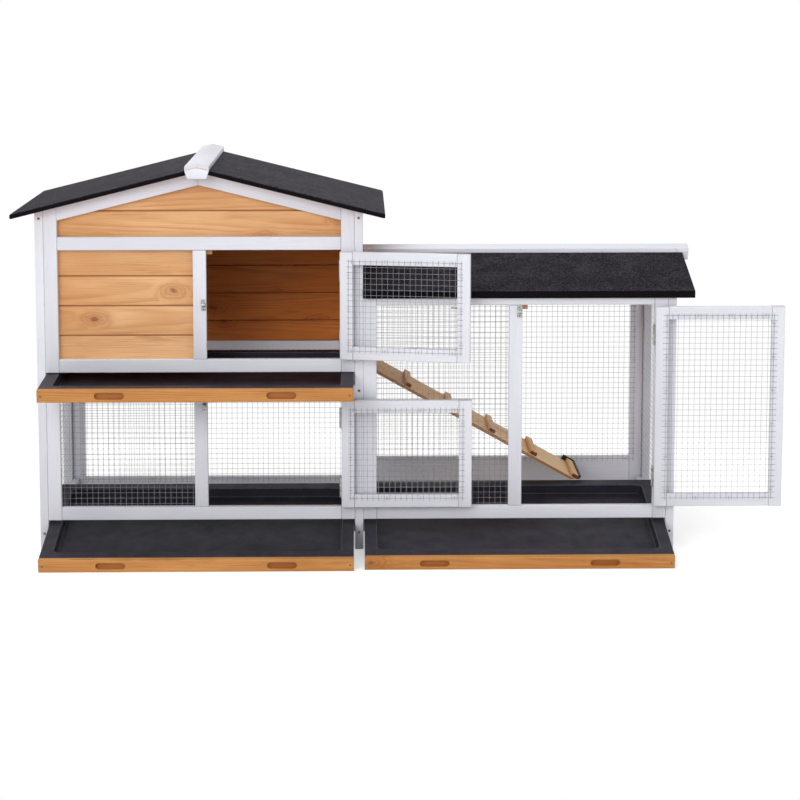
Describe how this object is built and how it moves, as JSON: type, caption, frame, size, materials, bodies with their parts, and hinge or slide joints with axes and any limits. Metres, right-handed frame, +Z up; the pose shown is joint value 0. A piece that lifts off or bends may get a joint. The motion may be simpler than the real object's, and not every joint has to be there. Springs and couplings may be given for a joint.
{
  "type": "rabbit cage",
  "caption": "Two-storey wooden rabbit cage with a gabled house, a roofed net run, hinged net doors with barrel bolts, a cleated ramp and drawer trays that tip over their runners.",
  "frame": {"origin": "middle of the box round the whole object as drawn, at the height of the ground under the posts", "axes": "+X from the gabled house to the run, +Y from the doors to the rear, +Z up"},
  "size_m": [1.7336, 0.6942, 0.8878],
  "materials": {
    "white_timber": "white paint, satin",
    "board_pine": "orange-brown stained pine",
    "ramp_pine": "light pine, clear stain",
    "cleat_pine": "light pine, darker end grain",
    "raw_timber": "unpainted timber",
    "tray_front_pine": "orange-brown stained pine",
    "tray_sheet": "dark grey coated sheet",
    "roofing_felt": "board under dark mineral felt",
    "net_wire": "galvanised wire",
    "zinc_steel": "zinc plated, dull",
    "black_steel": "black paint"
  },
  "bodies": {
    "cage": {"house_left_wall_frame": "white_timber", "house_right_wall_frame": "white_timber", "house_front_lower_frame": "white_timber", "house_front_upper_frame": "white_timber", "house_rear_lower_frame": "white_timber", "house_rear_upper_frame": "white_timber", "front_panel_boards": "board_pine", "front_gable_boards": "board_pine", "rear_wall_boards": "board_pine", "left_wall_boards": "board_pine", "right_wall_boards": "board_pine", "house_front_net": "net_wire", "house_left_net": "net_wire", "house_rear_net": "net_wire", "run_front_frame": "white_timber", "run_rear_frame": "white_timber", "run_right_wall_frame": "white_timber", "run_front_net": "net_wire", "run_rear_net": "net_wire", "run_right_net": "net_wire", "main_roof_left": "roofing_felt", "main_roof_right": "roofing_felt", "main_ridge_cap": "white_timber", "run_roof_front": "roofing_felt", "run_roof_rear": "roofing_felt", "run_ridge_cap": "white_timber", "ridge_end_blocks": "white_timber", "ramp_board": "ramp_pine", "ramp_cleats": "cleat_pine", "ramp_foot_bracket": "black_steel", "door_stop_blocks": "raw_timber", "house_tray_runners": "white_timber", "run_tray_runners": "white_timber", "hinge_frame_leaves": "zinc_steel", "hinge_pins": "zinc_steel", "bolt_keepers": "zinc_steel"},
    "upper_door": {"upper_door_frame": "white_timber", "upper_door_net": "net_wire", "upper_door_hinge_leaves": "zinc_steel", "upper_door_bolt_plate": "zinc_steel"},
    "upper_bolt": {"upper_door_bolt": "zinc_steel"},
    "lower_door": {"lower_door_frame": "white_timber", "lower_door_net": "net_wire", "lower_door_hinge_leaves": "zinc_steel", "lower_door_bolt_plate": "zinc_steel"},
    "lower_bolt": {"lower_door_bolt": "zinc_steel"},
    "run_door": {"run_door_frame": "white_timber", "run_door_net": "net_wire", "run_door_hinge_leaves": "zinc_steel", "run_door_bolt_plate": "zinc_steel"},
    "run_bolt": {"run_door_bolt": "zinc_steel"},
    "upper_tray_tilter": {"upper_tray_pivot_screws": "zinc_steel"},
    "upper_tray": {"upper_tray_pan": "tray_sheet", "upper_tray_front": "tray_front_pine"},
    "lower_tray_tilter": {"lower_tray_pivot_screws": "zinc_steel"},
    "lower_tray": {"lower_tray_pan": "tray_sheet", "lower_tray_front": "tray_front_pine"},
    "run_tray_tilter": {"run_tray_pivot_screws": "zinc_steel"},
    "run_tray": {"run_tray_pan": "tray_sheet", "run_tray_front": "tray_front_pine"}
  },
  "joints": [
    {"name": "upper_door_hinge", "type": "hinge", "parent": "cage", "child": "upper_door", "pos_m": [-0.134, -0.158, 0], "axis": [0, 0, 1], "range_deg": [-170, 3.5]},
    {"name": "upper_bolt_slide", "type": "slide", "parent": "upper_door", "child": "upper_bolt", "axis": [0.9848, -0.1736, 0], "range_m": [0, 0.0145]},
    {"name": "lower_door_hinge", "type": "hinge", "parent": "cage", "child": "lower_door", "pos_m": [-0.134, -0.158, 0], "axis": [0, 0, 1], "range_deg": [-180, 0]},
    {"name": "lower_bolt_slide", "type": "slide", "parent": "lower_door", "child": "lower_bolt", "axis": [1, 0, 0], "range_m": [0, 0.0145]},
    {"name": "run_door_hinge", "type": "hinge", "parent": "cage", "child": "run_door", "pos_m": [0.574, -0.158, 0], "axis": [0, 0, 1], "range_deg": [-180, 0]},
    {"name": "run_bolt_slide", "type": "slide", "parent": "run_door", "child": "run_bolt", "axis": [1, 0, 0], "range_m": [0, 0.0145]},
    {"name": "upper_tray_tip", "type": "hinge", "parent": "cage", "child": "upper_tray_tilter", "pos_m": [0, -0.1278, 0.3982], "axis": [1, 0, 0], "range_deg": [-2.2, 0]},
    {"name": "upper_tray_slide", "type": "slide", "parent": "upper_tray_tilter", "child": "upper_tray", "axis": [0, 0.9993, 0.0384], "range_m": [0, 0.163]},
    {"name": "lower_tray_tip", "type": "hinge", "parent": "cage", "child": "lower_tray_tilter", "pos_m": [0, -0.1278, 0.0572], "axis": [1, 0, 0], "range_deg": [-10.34, 0]},
    {"name": "lower_tray_slide", "type": "slide", "parent": "lower_tray_tilter", "child": "lower_tray", "axis": [0, 0.9837, 0.1796], "range_m": [0, 0.194]},
    {"name": "run_tray_tip", "type": "hinge", "parent": "cage", "child": "run_tray_tilter", "pos_m": [0, -0.1278, 0.0572], "axis": [1, 0, 0], "range_deg": [-10.8, 0]},
    {"name": "run_tray_slide", "type": "slide", "parent": "run_tray_tilter", "child": "run_tray", "axis": [0, 0.9823, 0.1873], "range_m": [0, 0.185]}
  ],
  "couplings": [
    {"joint": "upper_tray_tip", "follows": "upper_tray_slide", "rad_per_m": -0.23557},
    {"joint": "lower_tray_tip", "follows": "lower_tray_slide", "rad_per_m": -0.93061},
    {"joint": "run_tray_tip", "follows": "run_tray_slide", "rad_per_m": -1.0185}
  ]
}
